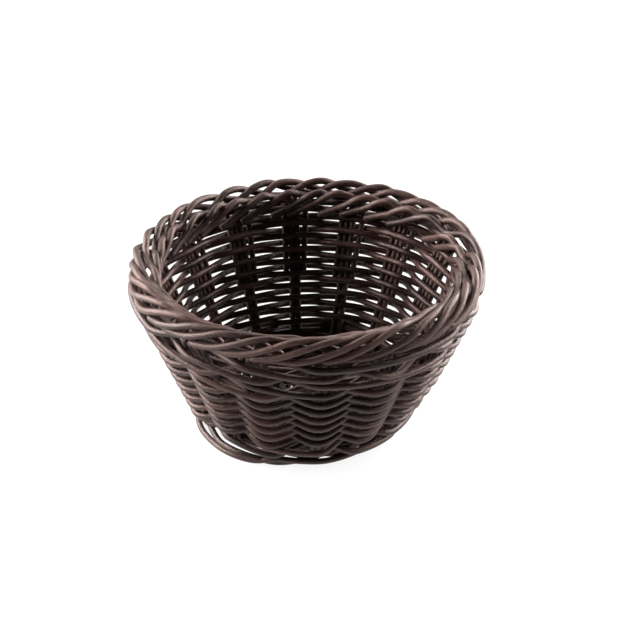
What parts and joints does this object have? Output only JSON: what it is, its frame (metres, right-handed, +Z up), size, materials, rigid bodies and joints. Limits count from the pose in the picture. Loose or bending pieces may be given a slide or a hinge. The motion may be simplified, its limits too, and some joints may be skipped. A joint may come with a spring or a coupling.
{
  "type": "woven fruit basket",
  "caption": "Round open basket of woven round rods with flared bowl-shaped walls, a rolled rope border, a ringed foot and no handle.",
  "frame": {"origin": "on the table, under the middle of the base", "axes": "+Z up; -Y towards the viewer of the three-quarter view; +X to that viewer's right"},
  "size_m": [0.1996, 0.1996, 0.104],
  "materials": {
    "woven_rod": "dark brown, soft sheen",
    "inner_rod": "darker brown, dull",
    "stake_rod": "brown, lighter where handled, soft sheen"
  },
  "bodies": {
    "root": {"foot_ring_outer": "woven_rod", "foot_ring_inner": "woven_rod", "foot_ring_upper": "woven_rod", "lower_wale_1": "woven_rod", "lower_wale_2": "woven_rod", "lower_wale_3": "woven_rod", "weaver_1": "woven_rod", "weaver_2": "woven_rod", "weaver_3": "woven_rod", "weaver_4": "woven_rod", "weaver_5": "woven_rod", "weaver_6": "woven_rod", "weaver_7": "woven_rod", "weaver_8": "woven_rod", "weaver_9": "woven_rod", "weaver_10": "woven_rod", "weaver_11": "woven_rod", "weaver_12": "woven_rod", "weaver_13": "woven_rod", "weaver_14": "woven_rod", "weaver_15": "woven_rod", "weaver_16": "woven_rod", "upper_wale_1": "woven_rod", "upper_wale_2": "woven_rod", "upper_wale_3": "woven_rod", "upper_wale_4": "woven_rod", "base_sticks_lower": "inner_rod", "base_sticks_upper": "inner_rod", "base_weave_inner": "inner_rod", "base_weave_outer": "inner_rod", "liner_rods_left": "inner_rod", "liner_rods_right": "inner_rod", "stake_pair_1": "stake_rod", "stake_pair_2": "stake_rod", "stake_pair_3": "stake_rod", "stake_pair_4": "stake_rod", "stake_pair_5": "stake_rod", "stake_pair_6": "stake_rod", "stake_pair_7": "stake_rod", "stake_pair_8": "stake_rod", "stake_pair_9": "stake_rod", "stake_pair_10": "stake_rod", "stake_pair_11": "stake_rod", "stake_pair_12": "stake_rod", "stake_pair_13": "stake_rod", "stake_pair_14": "stake_rod", "stake_pair_15": "stake_rod", "stake_pair_16": "stake_rod"}
  },
  "joints": []
}
